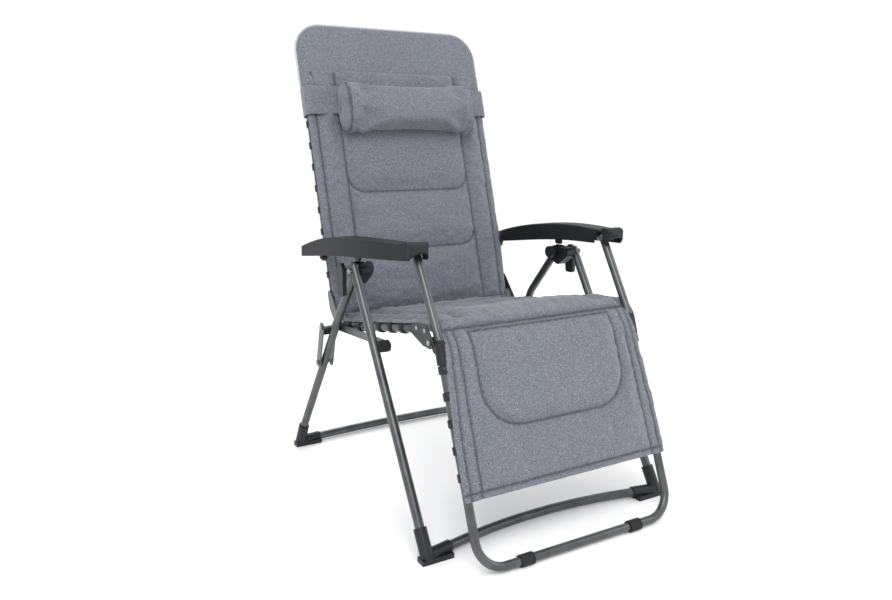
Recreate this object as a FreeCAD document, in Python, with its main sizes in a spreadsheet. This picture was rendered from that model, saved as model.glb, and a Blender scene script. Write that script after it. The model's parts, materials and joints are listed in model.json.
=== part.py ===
"""Folding zero gravity recliner: a tubular steel frame with padded fabric, in millimetres.

+Z is up, the sitter faces -Y, and the sitter's right hand is at -X. Points given as a pair are
(y, z) in a side view before origin_shift moves the whole chair along Y to its own middle.
"""
import FreeCAD, Part
import math
import os
import Sketcher

V = FreeCAD.Vector
doc = FreeCAD.newDocument("recliner")
dims = doc.addObject("Spreadsheet::Sheet", "dims")

SIZES = {
    "origin_shift": (20.95, "moves the chair along Y so that its box is centred"),
    "frame_tube": (22, "outer diameter of the legs, seat rails and back frame"),
    "lever_tube": (20, "outer diameter of the footrest frame and its levers"),
    "wall": (1.2, "tube wall"),
    "pin": (8, "pivot pin diameter"),
    "pin_hole": (8.1, "hole that a pivot pin turns in"),
    "plate": (3, "thickness of the steel hinge plates"),
    "stay_plate": (3.5, "thickness of a side stay"),
    "tube_fit": (22.06, "bore of a moulding round a frame tube"),
    "lever_fit": (20.06, "bore of a moulding round a lever tube"),
    "footrest_half": (272, "X of the footrest side tubes"),
    "seat_half": (275, "X of the seat rails"),
    "back_half": (277, "X of the back tubes"),
    "rear_top_half": (310, "X of the rear legs at the armrest"),
    "rear_foot_half": (344, "X of the rear legs at the floor"),
    "front_half": (337, "X of the front legs"),
    "back_corner": (75, "radius of the back frame's top corners"),
    "footrest_corner": (65, "radius of the footrest's corners"),
    "bar_height": (15, "height of the floor bars' centre lines"),
    "pad_thickness": (24, "thickness of the padded sling"),
    "pillow_length": (390, "length of the head pillow"),
    "pillow_depth": (92, "front to back size of the pillow"),
    "pillow_height": (142, "height of the pillow"),
    "foot_radius": (16, "outer radius of the plastic corner feet"),
}
for row, (alias, (number, note)) in enumerate(SIZES.items(), start=1):
    dims.set(f"A{row}", alias)
    dims.set(f"B{row}", str(number))
    dims.set(f"C{row}", note)
    dims.setAlias(f"B{row}", alias)
doc.recompute()
size = {alias: float(dims.get(alias)) for alias in SIZES}
SHIFT = size["origin_shift"]

# Pivots of the folding linkage, (y, z).
KNEE = (-318, 472)
ARM_FRONT = (-225, 655)
ARM_REAR = (284.5, 586)
HIP = (KNEE[0] + ARM_REAR[0] - ARM_FRONT[0], KNEE[1] + ARM_REAR[1] - ARM_FRONT[1])
CLAMP = (7, 589)
FRONT_LEG_TOP = (-33, 592)
FRONT_FOOT = (-392, 15)
BRACKET = (223, 297)
STAY_FRONT = (-136.4, 425)
BACK_LEAN = math.radians(16.6)
SIDES = {"right": -1, "left": 1}
parts = []


def at(x, y, z):
    """A point of the chair in the document's frame."""
    return V(x, y + SHIFT, z)


def side(sign, half, point):
    """A point on the right or left of the chair, from its side view."""
    return at(sign * half, point[0], point[1])


def kept(item, label):
    """Lists an object as a sub-part under the name of its file."""
    item.Label = label
    parts.append(item)
    return item


def facing(x_axis, z_axis):
    return FreeCAD.Rotation(x_axis, z_axis.cross(x_axis), z_axis, "ZXY")


def attached_sketch(body, name, role):
    sketch = body.newObject("Sketcher::SketchObject", name)
    plane = next(f for f in body.Origin.OriginFeatures if f.Role == role)
    sketch.AttachmentSupport = [(plane, "")]
    sketch.MapMode = "FlatFace"
    return sketch


def bound_circle(sketch, centre, cell):
    """A circle whose diameter follows a cell of the sheet."""
    shape = Part.Circle(V(centre[0], centre[1], 0), V(0, 0, 1), size[cell.split("-")[0]] / 2)
    index = sketch.addGeometry(shape, False)
    number = sketch.addConstraint(Sketcher.Constraint("Diameter", index, 2 * shape.Radius))
    terms = cell.split("-")
    text = f"dims.{terms[0]}" + (f" - 2 * dims.{terms[1]}" if len(terms) > 1 else "")
    sketch.setExpression(f"Constraints[{number}]", text)


def hull_outline(sketch, circles):
    """The outline of a band stretched round circles, listed anticlockwise as (u, v, radius)."""
    normals = []
    for one, two in zip(circles, circles[1:] + circles[:1]):
        du, dv = two[0] - one[0], two[1] - one[1]
        span = math.hypot(du, dv)
        lean = (one[2] - two[2]) / span
        rise = math.sqrt(1 - lean * lean)
        normals.append(((dv * rise + du * lean) / span, (-du * rise + dv * lean) / span))
    for k, (one, two) in enumerate(zip(circles, circles[1:] + circles[:1])):
        nu, nv = normals[k]
        start = V(one[0] + one[2] * nu, one[1] + one[2] * nv, 0)
        end = V(two[0] + two[2] * nu, two[1] + two[2] * nv, 0)
        sketch.addGeometry(Part.LineSegment(start, end), False)
        before = normals[k - 1]
        first = math.atan2(before[1], before[0])
        last = math.atan2(nv, nu)
        if last < first:
            last += 2 * math.pi
        round_end = Part.Circle(V(one[0], one[1], 0), V(0, 0, 1), one[2])
        sketch.addGeometry(Part.ArcOfCircle(round_end, first, last), False)


def side_plate(name, x_low, thickness, circles, holes=()):
    """A flat piece cut in the side view, from x_low outwards along +X."""
    body = doc.addObject("PartDesign::Body", name)
    sketch = attached_sketch(body, name + "_outline", "XY_Plane")
    hull_outline(sketch, circles)
    for y, z, cell in holes:
        bound_circle(sketch, (y, z), cell)
    pad = body.newObject("PartDesign::Pad", name + "_pad")
    pad.Profile = sketch
    pad.Length = thickness if not isinstance(thickness, str) else size[thickness]
    if isinstance(thickness, str):
        pad.setExpression("Length", f"dims.{thickness}")
    body.Placement = FreeCAD.Placement(at(x_low, 0, 0), facing(V(0, 1, 0), V(1, 0, 0)))
    return body


def outward(sign, near, far):
    """The lower X of a slab between two distances from the middle."""
    return near if sign > 0 else -far


def bar(name, start, end, cell="pin", wide=None):
    """A solid round bar between two points. Its radius follows the sheet unless wide is given."""
    item = doc.addObject("Part::Cylinder", name)
    if wide is None:
        item.setExpression("Radius", f"dims.{cell} / 2")
    else:
        item.Radius = wide / 2
    axis = end - start
    item.Height = axis.Length
    item.Placement = FreeCAD.Placement(start, FreeCAD.Rotation(V(0, 0, 1), axis))
    return item


def cross_pin(name, sign, near, far, point, head=0.0, cell="pin"):
    """A pin along X on one side, with a wider head on its outer end when head is given."""
    shank = bar(name, side(sign, near, point), side(sign, far, point), cell)
    if not head:
        return shank
    top = bar(name + "_head", side(sign, far, point), side(sign, far + 3, point), wide=head)
    joined = doc.addObject("Part::Fuse", name + "_headed")
    joined.Base, joined.Tool = shank, top
    return joined


def grouped(label, items):
    group = doc.addObject("Part::Compound", label)
    group.Links = items
    return kept(group, label)


def straight_tube(label, start, end, cell, cuts=()):
    """A drawn tube with cross holes for its pins."""
    outer = bar(label + "_outer", start, end, cell)
    bore = doc.addObject("Part::Cylinder", label + "_bore")
    bore.setExpression("Radius", f"dims.{cell} / 2 - dims.wall")
    axis = (end - start).normalize()
    bore.Height = (end - start).Length + 2
    bore.Placement = FreeCAD.Placement(start - axis, FreeCAD.Rotation(V(0, 0, 1), axis))
    return kept(subtracted(label, outer, [bore, *cuts]), label)


def subtracted(name, base, tools):
    """base with each tool cut away in turn."""
    for number, tool in enumerate(tools):
        cut = doc.addObject("Part::Cut", f"{name}_cut{number}")
        cut.Base, cut.Tool = base, tool
        base = cut
    return base


def rounded_path(points, radius):
    """Runs between points in one plane, joined by tangent arcs."""
    edges = []
    last = points[0]
    for before, corner, after in zip(points, points[1:], points[2:]):
        back, ahead = (before - corner).normalize(), (after - corner).normalize()
        half = back.getAngle(ahead) / 2
        reach = radius / math.tan(half)
        first, final = corner + back * reach, corner + ahead * reach
        middle = (back + ahead).normalize()
        apex = corner + middle * (radius / math.sin(half) - radius)
        edges += [Part.LineSegment(last, first), Part.Arc(first, apex, final)]
        last = final
    return edges + [Part.LineSegment(last, points[-1])]


def bent_tube(label, points, radius, cell, cuts=()):
    """A tube bent in one plane: a PartDesign pipe along a path sketched in that plane."""
    along = (points[1] - points[0]).normalize()
    normal = along.cross(points[2] - points[1]).normalize()
    place = FreeCAD.Placement(points[0], facing(along, normal))
    flat = [place.inverse().multVec(p) for p in points]
    body = swept_body(label + "_body", place, rounded_path(flat, radius), cell)
    return kept(subtracted(label, body, cuts), label)


def bow_placed(start, middle, end):
    """The placement of an arc's own plane at its start, and the arc drawn in that plane."""
    arc = Part.Arc(start, middle, end)
    along = V(*arc.tangent(arc.FirstParameter)[0])
    place = FreeCAD.Placement(start, facing(along, along.cross(end - start).normalize()))
    return place, Part.Arc(*[place.inverse().multVec(p) for p in (start, middle, end)])


def bowed_bar(label, start, middle, end, cell):
    """A tube bowed in one even arc through three points."""
    place, arc = bow_placed(start, middle, end)
    return kept(swept_body(label, place, [arc], cell), label)


def swept_body(label, place, edges, cell, hollow=True):
    """A round section of a sheet diameter swept along edges drawn in place's own plane."""
    body = doc.addObject("PartDesign::Body", label)
    path = attached_sketch(body, label + "_path", "XY_Plane")
    path.addGeometry(edges, False)
    ring = attached_sketch(body, label + "_ring", "YZ_Plane")
    bound_circle(ring, (0, 0), cell)
    if hollow:
        bound_circle(ring, (0, 0), cell + "-wall")
    pipe = body.newObject("PartDesign::AdditivePipe", label + "_pipe")
    pipe.Profile = ring
    pipe.Spine = path
    body.Placement = place
    return body


def hole(name, sign, near, far, point, cell="pin_hole"):
    return bar(name, side(sign, near, point), side(sign, far, point), cell)


# Floor frames: each leg pair stands in plastic corner feet joined by a bowed bar.
def rear_points(sign):
    top = at(sign * size["rear_top_half"], 4, 601)
    bend = at(sign * size["rear_top_half"], 130, 455)
    return [top, bend, at(sign * size["rear_foot_half"], 385, 24)]


def rear_x(z):
    """X of a rear leg's centre line below its bend."""
    spread = size["rear_foot_half"] - size["rear_top_half"]
    return size["rear_top_half"] + spread * (455 - z) / (455 - 24)


def corner_foot(label, leg_low, leg_high, bar_start, bar_end, envelopes):
    """A moulded boot: a collar up the leg, a sleeve along the bar and a rounded heel."""
    wide = size["foot_radius"]
    collar = bar(label + "_collar", leg_low, leg_high, wide=2 * wide - 2)
    sleeve = bar(label + "_sleeve", bar_start, bar_end, wide=2 * wide - 3)
    heel = doc.addObject("Part::Sphere", label + "_heel")
    heel.setExpression("Radius", "dims.foot_radius - 1")
    heel.Placement.Base = bar_start
    sole = doc.addObject("Part::Box", label + "_sole")
    sole.Length, sole.Width, sole.Height = 78, 27, 12
    outer = 1 if bar_start.x > 0 else -1
    low_x = bar_start.x - (62 if outer > 0 else 16)
    sole.Placement.Base = V(low_x, bar_start.y - 13.5, 0)
    body = doc.addObject("Part::MultiFuse", label + "_solid")
    body.Shapes = [collar, sleeve, heel, sole]
    below = doc.addObject("Part::Box", label + "_below")
    below.Length, below.Width, below.Height = 200, 200, 40
    below.Placement.Base = V(bar_start.x - 100, bar_start.y - 100, -40)
    return kept(subtracted(label, body, [*envelopes, below]), label)


BAR_Z = size["bar_height"]
BAR_END = 317
BOWS = {"rear": (386.5, 402), "front": (-388.4, -346)}
rivets, leg_pins, hip_bolts, knee_pins, arm_pins, front_pins = [], [], [], [], [], []
plate_rivets, clamp_bolts, arm_spacers = [], [], []


def bow_points(end):
    """A floor bar's right end, middle and left end."""
    y_side, y_middle = BOWS[end]
    return [at(-BAR_END, y_side, BAR_Z), at(0, y_middle, BAR_Z), at(BAR_END, y_side, BAR_Z)]


def bow_y(end, x):
    """Y of a floor bar's centre line at a given X."""
    y_side, y_middle = BOWS[end]
    rise = y_middle - y_side
    radius = (BAR_END ** 2 + rise ** 2) / (2 * rise)
    return y_middle - radius + math.copysign(math.sqrt(radius ** 2 - x ** 2), radius)


def bow_space(name, end):
    """The room that a floor bar takes up inside a foot."""
    place, arc = bow_placed(*bow_points(end))
    return swept_body(name, place, [arc], "tube_fit", hollow=False)


for name, sign in SIDES.items():
    # Rear leg, with a cross hole for the bracket's rivet.
    rivet_x = rear_x(BRACKET[1])
    rivets.append(cross_pin(f"rivet_{name}", sign, 301.6, rivet_x + 21, BRACKET, 14))
    drill = hole(f"rear_drill_{name}", sign, rivet_x - 14, rivet_x + 14, BRACKET)
    bent_tube(f"rear_leg_{name}", rear_points(sign), 90, "frame_tube", [drill])
    top, bend, low = rear_points(sign)
    down = (low - bend).normalize()
    leg_space = bar(f"rear_leg_space_{name}", low + down * 0.1, bend, "tube_fit")
    corner_foot(f"rear_foot_{name}", at(sign * 345.4, 379, 16), low - down * 52,
                at(sign * 345.4, 381, BAR_Z), at(sign * 284, bow_y("rear", 284), BAR_Z),
                [leg_space, bow_space(f"rear_bow_space_{name}", "rear")])

    # Front leg, straight from the armrest clamp to the floor.
    head = side(sign, size["front_half"], FRONT_LEG_TOP)
    toe = side(sign, size["front_half"], FRONT_FOOT)
    fall = (toe - head).normalize()
    leg_pins.append(cross_pin(f"leg_pin_{name}", sign, 301, 351, FRONT_LEG_TOP, 13))
    drill = hole(f"front_drill_{name}", sign, 325, 349, FRONT_LEG_TOP)
    straight_tube(f"front_leg_{name}", head - fall * 12, toe - fall * 9, "frame_tube", [drill])
    leg_space = bar(f"front_leg_space_{name}", head, toe - fall * 5, "tube_fit")
    corner_foot(f"front_foot_{name}", side(sign, size["front_half"], (-391, 16)),
                toe - fall * 62, at(sign * size["front_half"], -391, BAR_Z),
                at(sign * 272, bow_y("front", 272), BAR_Z),
                [leg_space, bow_space(f"front_bow_space_{name}", "front")])

for end in BOWS:
    bowed_bar(f"{end}_crossbar", *bow_points(end), "frame_tube")

for name, sign in SIDES.items():
    # Clamp under the armrest: block, through-bolt, inner knob and outer cam lever.
    block = side_plate(f"block_{name}", outward(sign, 298, 325.2), 27.2,
                       [(-38, 590, 13), (-6, 566, 12), (22, 580, 15), (12, 596, 10)],
                       [(*CLAMP, "pin_hole"), (*FRONT_LEG_TOP, "pin_hole")])
    top, bend, low = rear_points(sign)
    leg_space = bar(f"block_leg_space_{name}", top + (top - bend).normalize() * 12, bend,
                    "tube_fit")
    kept(subtracted(f"clamp_block_{name}", block, [leg_space]), f"clamp_block_{name}")
    clamp_bolts.append(cross_pin(f"clamp_bolt_{name}", sign, 288, 297.8, CLAMP))
    clamp_bolts.append(cross_pin(f"clamp_stub_{name}", sign, 325.6, 349.6, CLAMP))
    knob = side_plate(f"clamp_knob_{name}", outward(sign, 276, 287.8), 11.8,
                      [(CLAMP[0] - 1, CLAMP[1], 16), (CLAMP[0] + 1, CLAMP[1], 16)])
    kept(knob, f"clamp_knob_{name}")
    lever = side_plate(f"cam_lever_{name}", outward(sign, 350, 360), 10,
                       [(-2, 533, 8), (14, 533, 8), (CLAMP[0] + 12, CLAMP[1], 9),
                        (CLAMP[0], CLAMP[1] + 8, 9), (CLAMP[0] - 8, CLAMP[1], 9)])
    kept(lever, f"cam_lever_{name}")
    shoe = side_plate(f"slide_shoe_{name}", outward(sign, 308, 314), 6,
                      [(0, 616, 6), (14, 616, 6), (14, 632, 6), (0, 632, 6)])
    kept(shoe, f"slide_shoe_{name}")

    # Rear bracket: two cheeks that straddle the rear leg, joined by a web behind the hip bolt.
    cheeks = []
    for tag, low_x in (("inner", outward(sign, 302, 305)), ("outer", outward(sign, 338, 341))):
        cheeks.append(side_plate(f"cheek_{tag}_{name}", low_x, "plate",
                                 [(*BRACKET, 13), (*HIP, 14)],
                                 [(*BRACKET, "pin_hole"), (*HIP, "pin_hole")]))
    web = doc.addObject("Part::Box", f"bracket_web_{name}")
    web.Length, web.Width, web.Height = 35, 3, 22
    web.Placement = FreeCAD.Placement(at(outward(sign, 304, 339), HIP[0] + 18.6, HIP[1] - 26.5),
                                      FreeCAD.Rotation(V(1, 0, 0), 16.5))
    bracket = doc.addObject("Part::MultiFuse", f"rear_bracket_{name}")
    bracket.Shapes = [*cheeks, web]
    kept(bracket, f"rear_bracket_{name}")

    # Stay from the hip bolt to the front leg, with the round knob on its front end.
    stay = side_plate(f"stay_{name}", outward(sign, 296.6, 300.1), "stay_plate",
                      [(*STAY_FRONT, 9), (*HIP, 10)], [(*HIP, "pin_hole")])
    kept(stay, f"stay_{name}")
    stop = side_plate(f"stay_knob_{name}", outward(sign, 300.2, 321.2), 21,
                      [(STAY_FRONT[0] - 1, STAY_FRONT[1], 14),
                       (STAY_FRONT[0] + 1, STAY_FRONT[1], 14)])
    kept(stop, f"stay_knob_{name}")
    strap = side_plate(f"hip_strap_{name}", outward(sign, 292.6, 295.6), "plate",
                       [(HIP[0] - 62, HIP[1] + 8, 9), (*HIP, 13)], [(*HIP, "pin_hole")])
    kept(strap, f"hip_strap_{name}")

    # Seat rail and its front plate, which carries the knee pivot.
    rail_front, rail_rear = (-252, 489.2), (209, 397.4)
    drill = hole(f"rail_drill_{name}", sign, 262, 288, HIP)
    straight_tube(f"seat_rail_{name}", side(sign, size["seat_half"], rail_front),
                  side(sign, size["seat_half"], rail_rear), "frame_tube", [drill])
    plate = side_plate(f"knee_plate_{name}", outward(sign, 286.6, 289.6), "plate",
                       [(-232, 486, 9), (-262, 497, 9), (-299, 499, 10), (*KNEE, 14),
                        (-290, 469, 10)], [(*KNEE, "pin_hole")])
    kept(plate, f"knee_plate_{name}")
    for k, point in enumerate(((-262, 494), (-299, 495))):
        plate_rivets.append(bar(f"plate_rivet_{k}_{name}", side(sign, 289.7, point),
                                side(sign, 292.2, point), "", 10))

    # Pins that join the moving frames.
    hip_bolts.append(cross_pin(f"hip_bolt_{name}", sign, 263, 344, HIP, 15))
    knee_pins.append(cross_pin(f"knee_pin_{name}", sign, 236, 290.4, KNEE, 13))
    arm_pins.append(cross_pin(f"arm_pin_{name}", sign, 265, 303, ARM_REAR))
    arm_spacers.append(side_plate(f"arm_spacer_{name}", outward(sign, 288.6, 296), 7.4,
                                  [(ARM_REAR[0] - 1, ARM_REAR[1], 17.5),
                                   (ARM_REAR[0] + 1, ARM_REAR[1], 17.5)],
                                  [(*ARM_REAR, "pin_hole")]))
    front_pins.append(cross_pin(f"front_pin_{name}", sign, 254, 306, ARM_FRONT))

    # Footrest side: the lever up to the armrest and the moulded sleeve at the knee.
    drill = hole(f"lever_drill_{name}", sign, 260, 284, ARM_FRONT, "pin")
    lever_top = (ARM_FRONT[0] + 4.1, ARM_FRONT[1] + 6.9)
    straight_tube(f"footrest_lever_{name}", side(sign, size["footrest_half"], lever_top),
                  side(sign, size["footrest_half"], (-332.1, 475.2)), "lever_tube",
                  [drill, hole(f"knee_nick_{name}", sign, 260, 284, KNEE)])
    barrel = bar(f"sleeve_barrel_{name}", side(sign, size["footrest_half"], (-332.5, 474.5)),
                 side(sign, size["footrest_half"], (-348.6, 427.5)), wide=27)
    lug = side_plate(f"sleeve_lug_{name}", outward(sign, 266, 278), 12,
                     [(-341, 452, 10), (-318, 455, 8), (*KNEE, 13), (-333, 476, 8)])
    sleeve = doc.addObject("Part::MultiFuse", f"sleeve_solid_{name}")
    sleeve.Shapes = [barrel, lug]
    upper = bar(f"sleeve_upper_{name}", side(sign, size["footrest_half"], lever_top),
                side(sign, size["footrest_half"], (-332.2, 475)), "lever_fit")
    lower = bar(f"sleeve_lower_{name}", side(sign, size["footrest_half"], (-344.5, 438)),
                side(sign, size["footrest_half"], (-420, 241.7)), "lever_fit")
    drill = hole(f"lug_drill_{name}", sign, 260, 284, KNEE)
    kept(subtracted(f"knee_sleeve_{name}", sleeve, [upper, lower, drill]),
         f"knee_sleeve_{name}")

grouped("bracket_rivets", rivets)
grouped("leg_pins", leg_pins)
grouped("hip_bolts", hip_bolts)
grouped("knee_pins", knee_pins)
grouped("arm_rear_pins", arm_pins)
grouped("arm_spacers", arm_spacers)
grouped("arm_front_pins", front_pins)
grouped("plate_rivets", plate_rivets)
grouped("clamp_bolts", clamp_bolts)

# Footrest frame: a U that stands on two rubber bumpers, and the bar hung from the knee pins.
foot_half = size["footrest_half"]
u_top, u_low = (-344.5, 438), (-507.5, 13.6)
bent_tube("footrest_frame", [at(-foot_half, *u_top), at(-foot_half, *u_low),
                             at(foot_half, *u_low), at(foot_half, *u_top)],
          size["footrest_corner"], "lever_tube")
bumpers = []
for x in (-155, 155):
    pad = doc.addObject("Part::Cylinder", f"bumper_{'right' if x < 0 else 'left'}")
    pad.Radius, pad.Height = 13.6, 34
    pad.Placement = FreeCAD.Placement(at(x - 17, *u_low), FreeCAD.Rotation(V(0, 1, 0), 90))
    space = doc.addObject("Part::Cylinder", pad.Name + "_space")
    space.Radius, space.Height = size["lever_tube"] / 2 + 0.03, 40
    space.Placement = FreeCAD.Placement(at(x - 20, *u_low), FreeCAD.Rotation(V(0, 1, 0), 90))
    bumpers += [subtracted(pad.Name, pad, [space])]
grouped("footrest_bumpers", bumpers)
pin_holes = [hole(f"bar_drill_{name}", sign, 234, 262, KNEE) for name, sign in SIDES.items()]
hung = [at(-246.5, KNEE[0] - 1.5, KNEE[1] + 8), at(-226, -301, 376),
        at(226, -301, 376), at(246.5, KNEE[0] - 1.5, KNEE[1] + 8)]
bent_tube("knee_crossbar", hung, 62, "lever_tube", pin_holes)

# Back frame: an inverted U with plates down to the hip bolts.
back_half = size["back_half"]


def up_back(distance, forward=0.0):
    """A side-view point along the back's centre line, measured from the rear arm pivot."""
    return (ARM_REAR[0] + distance * math.sin(BACK_LEAN) - forward * math.cos(BACK_LEAN),
            ARM_REAR[1] + distance * math.cos(BACK_LEAN) + forward * math.sin(BACK_LEAN))


BACK_TOP, BACK_LOW = 643, -152
drills = [hole(f"back_drill_{name}", sign, 262, 291, ARM_REAR) for name, sign in SIDES.items()]
bent_tube("back_frame", [at(-back_half, *up_back(BACK_LOW)), at(-back_half, *up_back(BACK_TOP)),
                         at(back_half, *up_back(BACK_TOP)), at(back_half, *up_back(BACK_LOW))],
          size["back_corner"], "frame_tube", drills)
for name, sign in SIDES.items():
    low, high = up_back(-148), up_back(-112)
    plate = side_plate(f"back_plate_{name}", outward(sign, 289, 292), "plate",
                       [(*HIP, 13), (*low, 11), (*high, 11), (HIP[0] + 4, HIP[1] + 8, 13)],
                       [(*HIP, "pin_hole")])
    kept(plate, f"back_plate_{name}")


# Armrest: a moulded shell, open below, that curves in to the footrest lever.
def armrest_block(sign, inset, low_drop):
    """The armrest's side view and plan crossed, drawn in by inset and open below by low_drop."""
    top = [(316 - inset, 611 - inset), (190, 643 - inset), (40, 666 - inset),
           (-110, 675 - inset), (-225, 677.5 - inset)]
    nose = (-275 + inset, 664)
    bottom = [(-252, 643 - low_drop), (-120, 633 - low_drop), (40, 619 - low_drop),
              (190, 599 - low_drop), (316 - inset, 582 - low_drop)]
    as_points = lambda pairs: [at(0, y, z) for y, z in pairs]
    upper = Part.BSplineCurve()
    upper.interpolate(as_points(top))
    under = Part.BSplineCurve()
    under.interpolate(as_points(bottom))
    front = Part.Arc(at(0, *top[-1]), at(0, nose[0] + 6, 672 - inset), at(0, *nose))
    edges = [upper, front, Part.LineSegment(at(0, *nose), at(0, *bottom[0])), under,
             Part.LineSegment(at(0, *bottom[-1]), at(0, *top[0]))]
    profile = Part.Face(Part.Wire([e.toShape() for e in edges]))
    profile.translate(V(200 if sign > 0 else -400, 0, 0))
    tall = profile.extrude(V(200, 0, 0))
    outer = [(345 - inset, 316 - inset), (349 - inset, 120), (346 - inset, -60),
             (326 - inset, -175), (307 - inset, -248)]
    inner = [(257 + inset, -248), (276 + inset, -165), (296 + inset, -50), (297 + inset, 120),
             (301 + inset, 316 - inset)]
    flat = lambda pairs: [at(sign * x, y, 540) for x, y in pairs]
    curves = []
    for pairs in (outer, inner):
        curve = Part.BSplineCurve()
        curve.interpolate(flat(pairs))
        curves.append(curve)
    cap = Part.Arc(at(sign * outer[-1][0], outer[-1][1], 540),
                   at(sign * 282, -275 + inset, 540), at(sign * inner[0][0], inner[0][1], 540))
    tail = Part.LineSegment(at(sign * inner[-1][0], inner[-1][1], 540),
                            at(sign * outer[0][0], outer[0][1], 540))
    plan = Part.Face(Part.Wire([e.toShape() for e in (curves[0], cap, curves[1], tail)]))
    return plan.extrude(V(0, 0, 200)).common(tall)


def pin_cylinder(sign, near, far, point, radius):
    start = side(sign, near, point)
    return Part.makeCylinder(radius, far - near, start, V(sign, 0, 0))


for name, sign in SIDES.items():
    solid = armrest_block(sign, 0, 0)
    edges = [e for e in solid.Edges if e.BoundBox.ZMin > 600 and e.BoundBox.YLength > 120]
    try:
        solid = solid.makeFillet(5, edges)
    except Part.OCCError:
        print(f"armrest_{name}: top edges left sharp")
    shell = solid.cut(armrest_block(sign, 3.5, 40))
    ear = pin_cylinder(sign, 297.2, 300.4, ARM_REAR, 13)
    shell = shell.fuse(ear)
    for deep, low_y, low_z, tall in ((110, -300, 594, 60), (41, -246, 650, 20)):
        shell = shell.cut(Part.makeBox(24, deep, tall,
                                       at(outward(sign, 260.4, 284.4), low_y, low_z)))
    for point, near, far in ((ARM_REAR, 290, 310), (ARM_FRONT, 250, 312)):
        shell = shell.cut(pin_cylinder(sign, near, far, point, size["pin_hole"] / 2))
    item = doc.addObject("Part::Feature", f"armrest_{name}")
    item.Shape = shell.removeSplitter()
    kept(item, f"armrest_{name}")


# Padded sling: plain slabs that lie between the tubes, and the head pillow on its strap.
def soft_slab(label, low, high, width, thick, edge):
    """A slab with rounded edges, centred on the line between two side-view points."""
    body = doc.addObject("PartDesign::Body", label)
    sketch = attached_sketch(body, label + "_face", "XY_Plane")
    run = math.hypot(high[0] - low[0], high[1] - low[1])
    corners = [V(-width / 2, 0, 0), V(width / 2, 0, 0), V(width / 2, run, 0),
               V(-width / 2, run, 0)]
    for one, two in zip(corners, corners[1:] + corners[:1]):
        sketch.addGeometry(Part.LineSegment(one, two), False)
    pad = body.newObject("PartDesign::Pad", label + "_pad")
    pad.Profile = sketch
    pad.Midplane = True
    pad.setExpression("Length", f"dims.{thick}")
    doc.recompute()
    rounding = body.newObject("PartDesign::Fillet", label + "_edges")
    rounding.Base = (pad, [f"Edge{k + 1}" for k in range(len(pad.Shape.Edges))])
    rounding.Radius = edge
    along = V(0, (high[0] - low[0]) / run, (high[1] - low[1]) / run)
    normal = V(1, 0, 0).cross(along)
    body.Placement = FreeCAD.Placement(at(0, *low), facing(V(1, 0, 0), normal))
    return kept(body, label)


soft_slab("seat_pad", (206, 398), (-292, 497.2), 522, "pad_thickness", 8)
soft_slab("leg_pad", (-453, 155), (-360, 397), 518, "pad_thickness", 8)
soft_slab("back_pad", up_back(-140), up_back(BACK_TOP - size["back_corner"] - 2), 526,
          "pad_thickness", 8)
PILLOW_LOW, STRAP_LOW = 331, 390
soft_slab("pillow", up_back(PILLOW_LOW, 63), up_back(PILLOW_LOW + size["pillow_height"], 63),
          size["pillow_length"], "pillow_depth", 36)
strap = doc.addObject("Part::Box", "strap_outer")
opening = doc.addObject("Part::Box", "strap_opening")
for band, grow, tall in ((strap, 2.2, 84), (opening, 0, 90)):
    band.Length, band.Width, band.Height = 580 + 2 * grow, 29 + 2 * grow, tall
    low = up_back(STRAP_LOW - (tall - 84) / 2, 14.5 + grow)
    band.Placement = FreeCAD.Placement(at(-290 - grow, *low),
                                       FreeCAD.Rotation(V(1, 0, 0), -math.degrees(BACK_LEAN)))
kept(subtracted("pillow_strap", strap, [opening]), "pillow_strap")

doc.recompute()
for item in doc.Objects:
    if {"Invalid", "Error"} & set(item.State):
        raise RuntimeError(f"{item.Label} did not build: {item.State}")
os.makedirs("parts", exist_ok=True)
box = FreeCAD.BoundBox()
for item in parts:
    shape = item.Shape
    if shape.isNull() or not shape.isValid() or not shape.Solids:
        raise RuntimeError(f"{item.Label} has no valid shape")
    shape.exportStep(f"parts/{item.Label}.step")
    box.add(shape.BoundBox)
    print(f"{item.Label}: {len(shape.Solids)} solid, {shape.Volume / 1000:.1f} cm3")
print("box", [round(v, 2) for v in (box.XMin, box.YMin, box.ZMin, box.XMax, box.YMax, box.ZMax)])
print("nodes", len(parts))
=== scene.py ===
"""Folding zero gravity recliner: fabric, plastic and trim built round its steel frame, in metres."""

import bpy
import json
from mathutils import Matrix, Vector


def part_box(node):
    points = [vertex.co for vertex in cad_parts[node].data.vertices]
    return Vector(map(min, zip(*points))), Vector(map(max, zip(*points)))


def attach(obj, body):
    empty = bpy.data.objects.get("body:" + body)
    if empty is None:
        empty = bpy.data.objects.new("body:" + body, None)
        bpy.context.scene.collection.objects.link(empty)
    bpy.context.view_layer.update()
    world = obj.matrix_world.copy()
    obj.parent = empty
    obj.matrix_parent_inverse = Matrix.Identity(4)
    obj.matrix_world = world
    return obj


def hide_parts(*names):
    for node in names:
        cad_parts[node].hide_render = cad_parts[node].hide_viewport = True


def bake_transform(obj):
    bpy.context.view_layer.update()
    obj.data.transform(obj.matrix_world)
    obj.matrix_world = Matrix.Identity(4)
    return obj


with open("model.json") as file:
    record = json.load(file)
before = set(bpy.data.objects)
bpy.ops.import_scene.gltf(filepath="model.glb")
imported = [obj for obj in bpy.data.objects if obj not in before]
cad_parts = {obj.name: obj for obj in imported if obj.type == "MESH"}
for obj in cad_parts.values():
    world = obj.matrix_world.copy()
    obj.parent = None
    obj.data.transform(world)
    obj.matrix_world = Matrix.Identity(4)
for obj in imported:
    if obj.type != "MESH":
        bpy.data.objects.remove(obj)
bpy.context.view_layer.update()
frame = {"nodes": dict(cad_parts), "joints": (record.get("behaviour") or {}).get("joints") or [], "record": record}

import json
import math

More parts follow.
